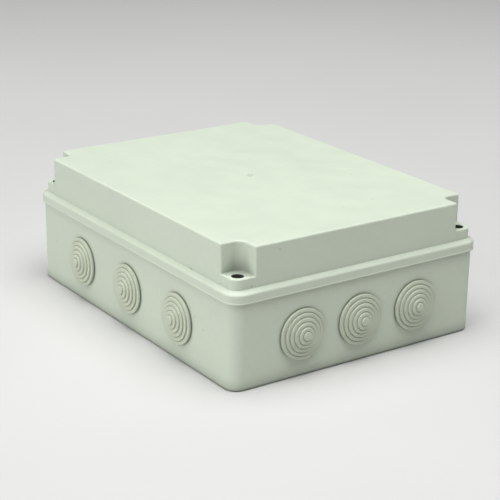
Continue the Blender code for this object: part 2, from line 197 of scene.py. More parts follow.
CORNER_STEPS = 12
EDGE_STEPS = 4
TURN_STEPS = 64
GROMMET_STEPS = 96
THREAD_STEPS = 24
ROUND_STEPS = 16
NOTCH_STEPS = 24
HUB = 0.4 * MM  # radius of the flat face in the middle of a turned piece
THREAD_SLICES = 8
WELD = 0.002 * MM
SLIVER = 0.001 * MM
SHARP_ANGLE = math.radians(40)
NORMAL_WEIGHT = 100  # the strongest pull of large faces on the shading

# Colours, linear
BOX_GREY = (0.611, 0.680, 0.563)
CAP_GREY = (0.50, 0.54, 0.45)
GROMMET_GREY = (0.575, 0.628, 0.505)
GASKET_DARK = (0.030, 0.031, 0.032)
STEEL = (0.30, 0.31, 0.32)
STEEL_TARNISH = (0.20, 0.20, 0.19)
BRASS = (0.61, 0.44, 0.18)
BRASS_TARNISH = (0.34, 0.22, 0.09)

# Materials: scales are in features a metre, and tints are factors of a piece's own colour
NOISE_RANGE = (0.3, 0.7)  # where most values of a noise texture lie
EDGE_COSINE = 0.86  # between true and rounded normals, where an edge counts in full
CLOUD_SCALE = 14.0
CLOUD_TINTS = (0.975, 1.02)
MOTTLE_SCALE = 260.0
MOTTLE_TINT = 0.955
SPECK_SCALE = 65.0
SPECK_SIZE = (0.055, 0.03)
SPECK_TINT = 0.62
# Painted highlight on the plastic's edges: scale of its patches, edge radius and tint
EDGE_HIGHLIGHT_SCALE = 90.0
EDGE_HIGHLIGHT_RADIUS = 0.6 * MM
EDGE_HIGHLIGHT_TINT = 1.15
# Painted shade in hollows such as the lid's corner pockets
HOLLOW_SHADE_DISTANCE = 14.0 * MM
HOLLOW_SHADE_TINT = 0.56
# Painted shade deep in the screw bores
BORE_RIM = (0.2 * MM, 0.05 * MM)
BORE_DEPTHS = (0.2 * MM, 0.8 * MM)
BORE_SHADE_TINT = 0.1
# Painted shade in crevices, under the lid's skirt and in the gaps between pieces
CREVICE_SHADE_DISTANCE = 1.2 * MM
CREVICE_SHADE_TINT = 0.5
RUB_SCALE = 55.0
FLOW_SCALE = 22.0
FLOW_DEPTH = 0.10 * MM
GRAIN_SCALE = 1500.0
GRAIN_DEPTH = 0.02 * MM
RUBBER_CLOUD_SCALE = 70.0
RUBBER_CLOUD_TINTS = (0.95, 1.03)
# Painted shade in the rubber's grooves and gaps
RUBBER_CREVICE_SHADE_DISTANCE = 1.0 * MM
RUBBER_CREVICE_SHADE_TINT = 0.4
RUBBER_RUB_SCALE = 300.0
DUST_RADIUS = 0.4 * MM
DUST_TINT = 1.12
STAIN_SCALE = 900.0
METAL_WEAR_SCALE = 1500.0
METAL_WEAR_RADIUS = 0.15 * MM
METAL_WEAR_TINT = 1.35
METAL_RUB_SCALE = 1800.0
TOOL_MARK_SCALE = 2600.0
TOOL_MARK_DEPTH = 0.01 * MM

# Camera, light and floor
CAMERA_AZIMUTH = math.radians(55.17)
CAMERA_ELEVATION = math.radians(19.53)
CAMERA_ROLL = math.radians(0.921)
CAMERA_DISTANCE = 1000.9 * MM
CAMERA_AIM = Vector((0.0, 0.0, 38.0 * MM))
CAMERA_OFFSET = (0.664 * MM, -1.916 * MM)
CAMERA_LENS = 107.84
SENSOR = 36.0
FLOOR_SIZE = 24.0
WORLD_COLOUR = (1.0, 1.0, 1.0)
WORLD_STRENGTH = 0.04
# name, (azimuth, elevation) in degrees, distance, size, power in watts
LAMPS = (
    ("overhead", (55.0, 83.0), 1.5, 1.5, 31.5),
    ("front_low", (0.0, 20.0), 2.2, 2.2, 26.0),
    ("back_right", (130.0, 55.0), 2.2, 1.8, 7.5),
)
FLOOR_SCALE = 3.0  # features a metre
FLOOR_NEAR = ((0.60, 0.60, 0.59), (0.63, 0.63, 0.62))
FLOOR_FAR = (0.92, 0.92, 0.91)
FLOOR_BLEND = (0.4, 1.8)  # distances between which the near colour gives way to the far one


# Lines and outlines -------------------------------------------------------------------

def lerp(start, end, share):
    """Mix two tuples of numbers."""
    return tuple(a + (b - a) * share for a, b in zip(start, end))


def soften(points, steps=EDGE_STEPS):
    """Round the inner points of an open line.

    A point is (across, height, other values..., fillet), and the fillet is how far from
    the point its rounding starts. The fillet is left out of what comes back.
    """
    bare = [point[:-1] for point in points]
    line = [bare[0]]
    for index in range(1, len(points) - 1):
        corner, fillet = bare[index], points[index][-1]
        if fillet == 0.0:
            line.append(corner)
            continue
        before, after = bare[index - 1], bare[index + 1]
        start = lerp(corner, before, fillet / math.dist(corner[:2], before[:2]))
        end = lerp(corner, after, fillet / math.dist(corner[:2], after[:2]))
        for step in range(steps + 1):
            share = step / steps
            line.append(lerp(lerp(start, corner, share), lerp(corner, end, share), share))
    line.append(bare[-1])
    return line


def quarter_angles(steps):
    """Divide a quarter turn into equal steps."""
    return [math.pi / 2 * step / steps for step in range(steps + 1)]


def quarter(radius):
    """Give a rounded edge as (run, drop): the run shrinks to zero as the drop grows."""
    for angle in quarter_angles(EDGE_STEPS):
        yield radius * (1 - math.sin(angle)), radius * (1 - math.cos(angle))


def convex_arc(centre, radius):
    """Draw a convex corner from the short side's wall to the long side's wall."""
    return [(centre - radius * math.cos(angle), centre - radius * math.sin(angle))
            for angle in quarter_angles(CORNER_STEPS)]


def pocket_corner(wall, pocket, radius, edge):
    """Draw a corner whose pocket is cut in to an inset, with a rounded edge at each side."""
    centre = pocket - radius
    first = [(wall + run_in, pocket + run_out) for run_out, run_in in quarter(edge)]
    hollow = [(centre + radius * math.sin(angle), centre + radius * math.cos(angle))
              for angle in quarter_angles(CORNER_STEPS)]
    return first + hollow + mirrored(first)


def pad_corner(wall, radius, recess, pocket):
    """Draw a convex corner with as many points as a pocket's, stepped in by a recess."""
    first = [(wall + min(run_in, recess), pocket + run_out)
             for run_out, run_in in quarter(POCKET_EDGE)]
    return first + convex_arc(wall + radius, radius - recess) + mirrored(first)


def mirrored(points):
    """Give the other half of a corner, which is the same seen from the other wall."""
    return [(b, a) for a, b in reversed(points)]


def around(corner, height):
    """Carry one corner's points round the box at a height."""
    ring = []
    for sx, sy in CORNERS:
        for a, b in (corner if sx == sy else reversed(corner)):
            ring.append((sx * (HALF_LENGTH - a), sy * (HALF_WIDTH - b), height))
    return ring


def circle(radius, height, steps=TURN_STEPS, shape=None):
    """Draw a circle about Z. The shape gives what is added to the radius at a turn."""
    ring = []
    for step in range(steps):
        turn = step / steps
        reach = radius + (shape(turn) if shape else 0.0)
        angle = 2 * math.pi * turn
        ring.append((reach * math.cos(angle), reach * math.sin(angle), height))
    return ring


# Meshes -------------------------------------------------------------------------------

def keep(bm, name):
    """Turn a bmesh into a new mesh, and free it."""
    mesh = bpy.data.meshes.new(name)
    bm.to_mesh(mesh)
    bm.free()
    return mesh


def loft(name, rings, closed=False):
    """Skin a stack of rings. Its ends are capped, or joined to each other if it is closed."""
    bm = bmesh.new()
    stack = [[bm.verts.new(point) for point in ring] for ring in rings]
    if closed:
        stack.append(stack[0])
    else:
        bm.faces.new(stack[0])
        bm.faces.new(stack[-1])
    for lower, upper in zip(stack, stack[1:]):
        for index in range(len(lower)):
            bm.faces.new((lower[index - 1], lower[index], upper[index], upper[index - 1]))
    bmesh.ops.remove_doubles(bm, verts=bm.verts, dist=WELD)
    bmesh.ops.recalc_face_normals(bm, faces=bm.faces)
    return keep(bm, name)


def turned(name, line, steps=TURN_STEPS, closed=False):
    """Turn a line of (radius, height) about Z. It ends on a flat face or closes on itself."""
    return loft(name, [circle(radius, height, steps) for radius, height in line], closed)


def add_object(name, mesh, place=Matrix.Identity(4)):
    """Link a mesh to the scene at a place."""
    item = bpy.data.objects.new(name, mesh)
    item.matrix_world = place
    bpy.context.scene.collection.objects.link(item)
    return item


def merged(name, meshes_and_places):
    """Join copies of meshes that don't touch each other into one mesh."""
    bm = bmesh.new()
    for mesh, place in meshes_and_places:
        before = len(bm.verts)
        bm.from_mesh(mesh)
        bm.verts.ensure_lookup_table()
        bmesh.ops.transform(bm, matrix=place, verts=bm.verts[before:])
    bmesh.ops.recalc_face_normals(bm, faces=bm.faces)
    return keep(bm, name)


def clean(mesh):
    """Weld the slivers that a Boolean leaves."""
    bm = bmesh.new()
    bm.from_mesh(mesh)
    bmesh.ops.remove_doubles(bm, verts=bm.verts, dist=SLIVER)
    bmesh.ops.dissolve_degenerate(bm, edges=bm.edges, dist=SLIVER)
    bm.to_mesh(mesh)
    bm.free()


def combine(item, operation, helper_mesh):
    """Apply an exact Boolean to an object at once, and leave no helper behind."""
    helper = add_object(helper_mesh.name, helper_mesh)
    modifier = item.modifiers.new("combine", "BOOLEAN")
    modifier.operation = operation
    modifier.solver = "EXACT"
    modifier.object = helper
    depsgraph = bpy.context.evaluated_depsgraph_get()
    result = bpy.data.meshes.new_from_object(item.evaluated_get(depsgraph))
    clean(result)
    item.modifiers.clear()
    old = item.data
    item.data = result
    result.name = old.name
    bpy.data.meshes.remove(old)
    bpy.data.objects.remove(helper, do_unlink=True)
    bpy.data.meshes.remove(helper_mesh)


def finish_piece(item, material, body, *nodes):
    """Shade a piece, give it its material and body, and let it stand for its CAD nodes."""
    item.data.materials.clear()
    item.data.materials.append(MATERIALS[material])
    item.data.shade_smooth()
    item.data.set_sharp_from_angle(angle=SHARP_ANGLE)
    weighted = item.modifiers.new("weighted_normals", "WEIGHTED_NORMAL")
    weighted.keep_sharp = True
    weighted.weight = NORMAL_WEIGHT
    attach(item, body)
    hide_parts(*nodes)
    return item


def middle(node):
    """Give the centre of a CAD node's box."""
    low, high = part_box(node)
    return (low + high) / 2


def numbered(prefix):
    """Give the names of the CAD nodes that share a prefix, in order."""
    return sorted(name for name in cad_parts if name.startswith(prefix))


def upright(place):
    """Give the matrix that carries a shape drawn about the origin's Z to a place."""
    return Matrix.Translation((place[0], place[1], 0.0))


# Lid ----------------------------------------------------------------------------------

def lid_rings():
    """Stack the lid's outlines: down the outside, under the skirt and up the inside."""
    rings = []
    foot = POCKET_INSET - POCKET_FOOT
    for run, drop in quarter(CROWN_EDGE):
        corner = pocket_corner(LID_INSET + run, POCKET_INSET + run, POCKET_RADIUS + run,
                               POCKET_EDGE - run)
        rings.append(around(corner, LID_TOP - drop))
    for run, drop in quarter(POCKET_FOOT):
        corner = pocket_corner(LID_INSET, POCKET_INSET - drop, POCKET_RADIUS - drop, POCKET_EDGE)
        rings.append(around(corner, PAD_TOP + run))
    for run, drop in quarter(PAD_EDGE):
        corner = pad_corner(LID_INSET, PAD_RADIUS, PAD_RECESS + run, foot)
        rings.append(around(corner, PAD_TOP - drop))
    rings += lid_section_rings(foot)
    inner_pocket = POCKET_INSET + LID_WALL
    inner_radius = POCKET_RADIUS + LID_WALL
    for run, drop in reversed(list(quarter(CROWN_EDGE))):
        corner = pocket_corner(CAVITY_INSET + run, inner_pocket + run, inner_radius + run,
                               POCKET_EDGE - run)
        rings.append(around(corner, LID_TOP - LID_WALL - drop))
    return rings


def lid_section_rings(foot):
    """Stack the outlines from the foot of the pads, round the skirt, to the pads' undersides."""
    outer, inner = foot, POCKET_INSET + LID_WALL
    under_pad = PAD_TOP - PAD_THICKNESS
    skirt_radius = FLANGE_RADIUS - SKIRT_THICKNESS
    # inset, height, corner radius, recess of the pads, place of the pockets' edges, fillet
    section = [
        (LID_INSET, PAD_TOP - 2 * PAD_EDGE, PAD_RADIUS, PAD_RECESS, outer, 0.0),
        (LID_INSET, SLOPE_TOP, PAD_RADIUS, PAD_RECESS, outer, FOOT_FILLET),
        (LIP_DRAFT, FLANGE_SIDE_TOP, FLANGE_RADIUS, 0.0, outer, SLOPE_FILLET),
        (LIP_DRAFT, SKIRT_BOTTOM + LIP_HEIGHT, FLANGE_RADIUS, 0.0, outer, LIP_FILLET),
        (0.0, SKIRT_BOTTOM + 0.3 * LIP_HEIGHT, FLANGE_RADIUS, 0.0, outer, LIP_FILLET),
        (0.0, SKIRT_BOTTOM, FLANGE_RADIUS, 0.0, outer, FOOT_FILLET),
        (SKIRT_THICKNESS, SKIRT_BOTTOM, skirt_radius, 0.0, inner, CHANNEL_FILLET),
        (SKIRT_THICKNESS, CHANNEL_TOP, skirt_radius, 0.0, inner, CHANNEL_FILLET),
        (RIB_INSET, CHANNEL_TOP, CAVITY_RADIUS, 0.0, inner, CHANNEL_FILLET),
        (RIB_INSET, RIB_BOTTOM, CAVITY_RADIUS, 0.0, inner, RIB_FILLET),
        (CAVITY_INSET, RIB_BOTTOM, CAVITY_RADIUS, 0.0, inner, RIB_FILLET),
        (CAVITY_INSET, under_pad, CAVITY_RADIUS, 0.0, inner, 0.0),
    ]
    return [around(pad_corner(inset, radius, recess, pocket), height)
            for inset, height, radius, recess, pocket in soften(section)]


def lid_under_pad_ring():
    """Draw the outline in which the inner walls of the pockets meet the pads' undersides."""
    corner = pocket_corner(CAVITY_INSET, POCKET_INSET + LID_WALL, POCKET_RADIUS + LID_WALL,
                           POCKET_EDGE)
    return around(corner, PAD_TOP - PAD_THICKNESS)


def lid_tubes():
    """Make the tubes that carry the screw seats, under the pads."""
    under_pad = PAD_TOP - PAD_THICKNESS
    collar = TUBE_RADIUS + TUBE_COLLAR
    line = soften([
        (0.0, RIB_BOTTOM, 0.0),
        (TUBE_RADIUS, RIB_BOTTOM, 0.4 * MM),
        (TUBE_RADIUS, under_pad - 1.2 * MM, 0.0),
        (collar, under_pad + 0.1 * MM, 0.0),
        (collar, PAD_TOP - PAD_THICKNESS / 2, 0.0),
    ])
    tube = turned("lid_tube", line[1:])  # the point on the axis only aims the first fillet
    return merged("lid_tubes", [(tube, upright(place)) for place in SCREW_PLACES])


def lid_bores():
    """Make the cutters of the screw bores, each with a rounded mouth and a seat."""
    mouth = 0.45 * MM
    chamfer = 0.3 * MM
    line = soften([
        (SHANK_BORE + chamfer, RIB_BOTTOM - PAST, 0.0),
        (SHANK_BORE + chamfer, RIB_BOTTOM, 0.0),
        (SHANK_BORE, RIB_BOTTOM + chamfer, 0.0),
        (SHANK_BORE, SEAT_TOP, 0.0),
        (HEAD_BORE, SEAT_TOP, chamfer),
        (HEAD_BORE, PAD_TOP, mouth),
        (HEAD_BORE + 2 * mouth, PAD_TOP, 0.0),
        (HEAD_BORE + 2 * mouth, PAD_TOP + 2 * PAST, 0.0),
    ])
    bore = turned("lid_bore", line)
    return merged("lid_bores", [(bore, upright(place)) for place in SCREW_PLACES])


def moulding_marks():
    """Make the cutters of the gate mark on the lid's top and of two small pits at its foot."""
    wall = HALF_WIDTH - LID_INSET
    side = HALF_LENGTH - LID_INSET - PAD_RECESS
    pits = [
        (FRONT_PIT[0], (FRONT_PIT[1], -wall, SLOPE_TOP + FRONT_PIT[2])),
        (PAD_PIT[0], (side, PAD_PIT[1], SLOPE_TOP + PAD_PIT[2])),
    ]
    inner = GATE_RADIUS - GATE_GROOVE
    gate = turned("gate_mark", [
        (inner, -GATE_DEPTH),
        (GATE_RADIUS, -GATE_DEPTH),
        (GATE_RADIUS, PAST),
        (inner, PAST),
    ], closed=True)
    cutters = [(gate, Matrix.Translation((0.0, 0.0, LID_TOP)))]
    for radius, place in pits:
        bm = bmesh.new()
        bmesh.ops.create_icosphere(bm, subdivisions=2, radius=radius)
        cutters.append((keep(bm, "pit"), Matrix.Translation(place)))
    return merged("moulding_marks", cutters)


def make_lid():
    """Build the lid moulding."""
    rings = lid_rings()
    ceiling = EDGE_STEPS + 1
    rings.insert(len(rings) - ceiling, lid_under_pad_ring())
    lid = add_object("lid_moulding", loft("lid_moulding", rings))
    combine(lid, "UNION", lid_tubes())
    combine(lid, "DIFFERENCE", lid_bores())
    combine(lid, "DIFFERENCE", moulding_marks())
    finish_piece(lid, "box_grey", "lid", "lid")


# Base ---------------------------------------------------------------------------------

def base_rings():
    """Stack the base's outlines: up the outside, over the rim and down to the floor."""
    inner = BASE_INSET + BASE_WALL
    heel = 2.0 * MM
    section = soften([
        (BASE_INSET + 2 * heel, BASE_LOW.z, 0.0),
        (BASE_INSET, BASE_LOW.z, heel),
        (BASE_INSET, RIM_TOP, 0.5 * MM),
        (inner, RIM_TOP, 0.5 * MM),
        (inner, BASE_FLOOR, 1.5 * MM),
        (inner + 2 * heel, BASE_FLOOR, 0.0),
    ])
    return [around(convex_arc(FLANGE_RADIUS, FLANGE_RADIUS - inset), height)
            for inset, height in section]


def post_line(radius, top, flare):
    """Give the outline of a post that flares into the floor."""
    root = BASE_FLOOR / 2
    return soften([
        (radius + flare, root, 0.0),
        (radius + flare, BASE_FLOOR, 0.0),
        (radius, BASE_FLOOR + flare, 0.6 * flare),
        (radius, top, 0.4 * MM),
        (0.5 * radius, top, 0.0),
    ])


def base_posts():
    """Make the screw columns, the wall-fixing bosses and the stand-offs."""
    column = turned("column", post_line(COLUMN_RADIUS, COLUMN_TOP, 0.8 * MM))
    boss = turned("boss", post_line(BOSS_RADIUS, BOSS_TOP, 1.0 * MM))
    standoff = turned("standoff", post_line(STANDOFF_RADIUS, STANDOFF_TOP, 0.8 * MM))
    places = [(column, upright(place)) for place in SCREW_PLACES]
    places += [(boss, upright(place)) for place in FIXING_PLACES]
    places += [(standoff, upright(place)) for place in STANDOFF_PLACES]
    return merged("base_posts", places)


def web_mesh():
    """Make one web, a plate with a rounded top that runs from a column to a wall."""
    reach = HALF_LENGTH - SCREW_PLACES[0][0] - BASE_INSET - BASE_WALL / 2
    bm = bmesh.new()
    bmesh.ops.create_cube(bm, size=1.0)
    bmesh.ops.scale(bm, vec=(reach, WEB_THICKNESS, WEB_TOP - BASE_FLOOR / 2), verts=bm.verts)
    bmesh.ops.translate(bm, vec=(reach / 2, 0.0, (WEB_TOP + BASE_FLOOR / 2) / 2), verts=bm.verts)
    top = [edge for edge in bm.edges
           if all(vert.co.z > WEB_TOP - WELD for vert in edge.verts)
           and abs(edge.verts[0].co.y - edge.verts[1].co.y) < WELD]
    bmesh.ops.bevel(bm, geom=top, offset=WEB_EDGE, segments=EDGE_STEPS, profile=0.5,
                    affect="EDGES")
    return keep(bm, "web")


def base_webs(along_x):
    """Make the webs that tie each column to one pair of walls."""
    web = web_mesh()
    places = []
    for (sx, sy), (x, y) in zip(CORNERS, SCREW_PLACES):
        turn = (0.0 if sx > 0 else math.pi) if along_x else sy * math.pi / 2
        places.append((web, upright((x, y)) @ Matrix.Rotation(turn, 4, "Z")))
    return merged("base_webs", places)


def bore_mesh(name, narrow, bottom, step, wide, top, chamfer):
    """Make the cutter of a stepped bore with a chamfered mouth."""
    line = [
        (narrow, bottom),
        (narrow, step),
        (wide, step),
        (wide, top - chamfer),
        (wide + chamfer, top),
        (wide + chamfer, top + PAST),
    ]
    return turned(name, line)


def base_bores():
    """Make the cutters of the insert pockets, the wall fixings and the stand-off pilots."""
    insert_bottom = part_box("screw_insert_1")[0].z - GAP
    insert = bore_mesh("insert_bore", TIP_HOLE, TIP_HOLE_BOTTOM, insert_bottom,
                       INSERT_POCKET, COLUMN_TOP, 0.3 * MM)
    fixing = bore_mesh("fixing_bore", FIXING_HOLE, -PAST, FIXING_SEAT,
                       FIXING_HEAD, BOSS_TOP, 0.3 * MM)
    pilot = bore_mesh("pilot_bore", 0.8 * STANDOFF_HOLE, STANDOFF_HOLE_BOTTOM - 0.4 * MM,
                      STANDOFF_HOLE_BOTTOM, STANDOFF_HOLE, STANDOFF_TOP, 0.3 * MM)
    places = [(insert, upright(place)) for place in SCREW_PLACES]
    places += [(fixing, upright(place)) for place in FIXING_PLACES]
    places += [(pilot, upright(place)) for place in STANDOFF_PLACES]
    return merged("base_bores", places)


def wall_matrix(wall, node):
    """Carry a shape drawn about Z to a grommet's axis, its zero at the wall's outer face."""
    turn = Matrix.Rotation(WALLS[wall], 4, "Z")
    facing = turn @ Vector((0.0, -1.0, 0.0))
    centre = middle(node)
    reach = BASE_HIGH.x if abs(facing.x) > 0.5 else BASE_HIGH.y
    place = centre - facing * centre.dot(facing) + facing * reach
    return Matrix.Translation(place) @ turn @ Matrix.Rotation(math.pi / 2, 4, "X")


def entry_holes():
    """Make the cutters of the twelve cable entries."""
    hole = turned("entry", [(ENTRY_RADIUS, -BASE_WALL - 2 * PAST), (ENTRY_RADIUS, 2 * PAST)])
    places = [(hole, wall_matrix(wall, node))
              for wall in WALLS for node in numbered(f"grommet_{wall}")]
    return merged("entry_holes", places)


def make_base():
    """Build the base moulding."""
    base = add_object("base_moulding", loft("base_moulding", base_rings()))
    combine(base, "UNION", base_posts())
    combine(base, "UNION", base_webs(along_x=True))
    combine(base, "UNION", base_webs(along_x=False))
    combine(base, "DIFFERENCE", base_bores())
    combine(base, "DIFFERENCE", entry_holes())
    finish_piece(base, "box_grey", "base", "base_box")


def make_gasket():
    """Build the foam seal that lies in the lid's channel."""
    low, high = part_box("lid_gasket")
    inset = HALF_LENGTH - high.x
    width = BASE_WALL - 2 * (inset - BASE_INSET)
    thickness = high.z - low.z
    rings = []
    for step in range(ROUND_STEPS):
        angle = 2 * math.pi * step / ROUND_STEPS
        across = math.copysign(abs(math.cos(angle)) ** FOAM_POWER, math.cos(angle))
        up = math.copysign(abs(math.sin(angle)) ** FOAM_POWER, math.sin(angle))
        here = inset + width / 2 * (1 + across)
        height = low.z + thickness / 2 * (1 + up)
        rings.append(around(convex_arc(FLANGE_RADIUS, FLANGE_RADIUS - here), height))
    gasket = add_object("foam_gasket", loft("foam_gasket", rings, closed=True))
    finish_piece(gasket, "gasket_dark", "lid", "lid_gasket")


# Small pieces -------------------------------------------------------------------------

def grommet_line():
    """Give a grommet's outline, from the middle of its nose to the middle of its underside."""
    radius = GROMMET_RUN * GROMMET_LEVELS
    nose = GAP + GROMMET_FLANGE + (GROMMET_LEVELS - 1) * GROMMET_RISE
    line = [(HUB, nose, 0.0)]
    for level in reversed(range(GROMMET_LEVELS)):
        reach = radius - level * GROMMET_RUN
        top = GAP + GROMMET_FLANGE + level * GROMMET_RISE
        line.append((reach, top, 0.4 * MM))
        if level:
            groove = top - GROMMET_RISE - GROOVE_DEPTH
            line.append((reach, groove, 0.18 * MM))
            line.append((reach + 0.4 * GROOVE_WIDTH, groove, 0.12 * MM))
            line.append((reach + GROOVE_WIDTH, groove + GROOVE_DEPTH, 0.2 * MM))
    lip_top = -BASE_WALL - GAP
    lip_bottom = lip_top - GROMMET_LIP_THICKNESS
    line += [
        (radius, GAP, 0.8 * MM),
        (GROMMET_NECK, GAP, 0.25 * MM),
        (GROMMET_NECK, lip_top, 0.25 * MM),
        (GROMMET_LIP, lip_top, 0.35 * MM),
        (GROMMET_LIP - 0.3 * MM, lip_bottom, 0.35 * MM),
        (GROMMET_NECK - GROMMET_SKIN, lip_bottom, 0.4 * MM),
        (HUB, nose - GROMMET_SKIN, 0.0),
    ]
    return soften(line, steps=3)


def make_grommets():
    """Build the twelve grommets from one turned mesh."""
    mesh = turned("grommet", grommet_line(), GROMMET_STEPS)
    for wall in WALLS:
        for node in numbered(f"grommet_{wall}"):
            grommet = add_object(f"rubber_{node}", mesh, wall_matrix(wall, node))
            finish_piece(grommet, "grommet_grey", "base", node)


def ridge(phase):
    """Give a thread's height at a phase of its pitch, from 0 at the root to 1 at the crest."""
    return min(1.0, max(0.0, 1.35 - 3.1 * abs(phase - 0.5)))


def thread_rings(low, high, core, depth):
    """Draw rings up a thread, right-handed, that fades out at each end."""
    slices = round((high - low) / THREAD_PITCH * THREAD_SLICES)
    rings = []
    for index in range(slices + 1):
        height = low + (high - low) * index / slices
        fade = min(1.0, (height - low) / THREAD_PITCH, (high - height) / THREAD_PITCH)

        def lift(turn, height=height, fade=fade):
            return depth * fade * ridge((height / THREAD_PITCH - turn) % 1.0)

        rings.append(circle(core, height, THREAD_STEPS, lift))
    return rings


def screw_rings(low, high, head_bottom):
    """Stack the rings of a pan-head screw, from the middle of its head down."""
    head = soften([
        (HUB, high, 0.0),
        (HEAD_RADIUS - 1.2 * MM, high - DOME, 0.5 * MM),
        (HEAD_RADIUS, high - 0.9 * MM, 0.5 * MM),
        (HEAD_RADIUS, head_bottom, 0.2 * MM),
        (SHANK_RADIUS, head_bottom, 0.3 * MM),
        (SHANK_RADIUS, head_bottom - SHANK_NECK, 0.0),
    ])
    core = SHANK_RADIUS - THREAD_DEPTH
    threads = thread_rings(low + SHANK_TIP, head_bottom - SHANK_NECK, core, THREAD_DEPTH)
    rings = [circle(radius, height, THREAD_STEPS * 2) for radius, height in head]
    rings += [doubled(ring) for ring in reversed(threads)]
    rings.append(circle(core - SHANK_TIP, low, THREAD_STEPS * 2))
    return rings


def doubled(ring):
    """Add a point half way from each of a ring's points to the next."""
    points = []
    for index, point in enumerate(ring):
        points += [point, lerp(point, ring[(index + 1) % len(ring)], 0.5)]
    return points


def cross_mesh(top):
    """Make the tapered cross that cuts a screw's recess."""
    def plus(arm, half, height):
        quarter_turn = [(arm, -half), (arm, half), (half, half)]
        ring = []
        for turn in range(4):
            spin = Matrix.Rotation(turn * math.pi / 2, 2)
            ring += [(*(spin @ Vector(point)), height) for point in quarter_turn]
        return ring

    return loft("recess", [plus(arm, half, top + rise) for arm, half, rise in CROSS_LEVELS])


def make_screws():
    """Build the lid screws, each turned from its own CAD place."""
    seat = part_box("screw_ring_1")[1].z + GAP
    for number, place in enumerate(SCREW_ORDER, start=1):
        node = f"lid_screw_{number}"
        low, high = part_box(node)
        mesh = loft(node, screw_rings(low.z, high.z, seat))
        screw = add_object(f"steel_{node}", mesh)
        combine(screw, "DIFFERENCE", cross_mesh(high.z))
        screw.matrix_world = upright(place)
        finish_piece(screw, "screw_steel", node, node)


def make_rings():
    """Build the sealing rings under the screw heads."""
    low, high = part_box("screw_ring_1")
    section = (high.z - low.z) / 2
    radius = (high.x - low.x) / 2 - section
    line = []
    for step in range(ROUND_STEPS):
        angle = 2 * math.pi * step / ROUND_STEPS
        line.append((radius + section * math.cos(angle), low.z + section * (1 + math.sin(angle))))
    mesh = turned("sealing_ring", line, closed=True)
    for number, place in enumerate(SCREW_ORDER, start=1):
        node = f"screw_ring_{number}"
        ring = add_object(f"rubber_{node}", mesh, upright(place))
        finish_piece(ring, "gasket_dark", node, node)


def insert_rings(low, high, radius, bore):
    """Draw the closed section of a knurled insert with a threaded bore."""
    def knurl(turn):
        return -KNURL_DEPTH * (1 - abs(math.cos(math.pi * turn * THREAD_STEPS)))

    steps = THREAD_STEPS * 2
    chamfer = 0.3 * MM
    band = (high - low) / 3
    rings = [circle(bore + chamfer, high, steps), circle(radius - chamfer, high, steps)]
    for top, bottom in ((high - chamfer, high - band), (low + band, low + chamfer)):
        rings.append(circle(radius, top, steps, knurl))
        rings.append(circle(radius, bottom, steps, knurl))
        if top > low + band:
            rings.append(circle(radius - chamfer, bottom - chamfer, steps))
            rings.append(circle(radius - chamfer, low + band + chamfer, steps))
    rings += [circle(radius - chamfer, low, steps), circle(bore + chamfer, low, steps)]
    rings += [doubled(ring)
              for ring in thread_rings(low + chamfer, high - chamfer, bore, -INSERT_THREAD)]
    return rings


def make_inserts():
    """Build the brass inserts in the base columns."""
    low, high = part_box("screw_insert_1")
    radius = (high.x - low.x) / 2
    mesh = loft("insert", insert_rings(low.z, high.z, radius, INSERT_BORE), closed=True)
    for number, place in enumerate(SCREW_ORDER, start=1):
        node = f"screw_insert_{number}"
        insert = add_object(f"brass_{node}", mesh, upright(place))
        finish_piece(insert, "insert_brass", "base", node)


def cap_line(low, high, brim, seat):
    """Give the outline of a fixing cap, from the middle of its top to that of its plug."""
    plug = FIXING_HEAD - GAP
    return soften([
        (HUB, high, 0.0),
        (brim - 1.6 * MM, high - DOME, 0.5 * MM),
        (brim, high - 0.8 * MM, 0.4 * MM),
        (brim, seat, 0.2 * MM),
        (plug, seat, 0.2 * MM),
        (plug, low, 0.3 * MM),
        (plug - CAP_WALL, low, 0.3 * MM),
        (plug - CAP_WALL, seat, 0.3 * MM),
        (HUB, seat, 0.0),
    ])


def make_caps():
    """Build the caps of the wall fixings, each with a notch to lever it out."""
    low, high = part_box("fixing_cap_1")
    brim = (high.x - low.x) / 2
    seat = BOSS_TOP + GAP
    notch = turned("notch", [(NOTCH_RADIUS, seat - NOTCH_BELOW),
                             (NOTCH_RADIUS, seat + NOTCH_ABOVE)], NOTCH_STEPS)
    edge = Matrix.Translation((0.0, brim + NOTCH_OUTSET, 0.0))
    for number, place in enumerate(FIXING_ORDER, start=1):
        node = f"fixing_cap_{number}"
        cap = add_object(f"plastic_{node}", turned(node, cap_line(low.z, high.z, brim, seat)))
        combine(cap, "DIFFERENCE", merged("cap_notch", [(notch, edge)]))
        cap.matrix_world = upright(place)
        finish_piece(cap, "cap_grey", "base", node)


# Materials ----------------------------------------------------------------------------

def add_node(tree, kind, settings=None, **sockets):
    """Add a shader node. A socket is given a value, or another node's output to read."""
    made = tree.nodes.new(kind)
    for key, value in (settings or {}).items():
        setattr(made, key, value)
    for key, value in sockets.items():
        socket = made.inputs[key.replace("_", " ")]
        if isinstance(value, bpy.types.NodeSocket):
            tree.links.new(value, socket)
        else:
            socket.default_value = value
    return made


def noise(tree, where, scale, detail=3.0, roughness=0.5):
    """Add a noise texture, its scale in features a metre, and give its value."""
    made = add_node(tree, "ShaderNodeTexNoise", Vector=where, Scale=scale, Detail=detail,
                    Roughness=roughness)
    return made.outputs[0]


def spread(tree, value, low, high, to_low, to_high):
    """Map a value's range to another, held at its ends."""
    made = add_node(tree, "ShaderNodeMapRange", Value=value, From_Min=low, From_Max=high,
                    To_Min=to_low, To_Max=to_high)
    return made.outputs[0]


def product(tree, first, second):
    """Multiply two values."""
    made = tree.nodes.new("ShaderNodeMath")
    made.operation = "MULTIPLY"
    tree.links.new(first, made.inputs[0])
    tree.links.new(second, made.inputs[1])
    return made.outputs[0]


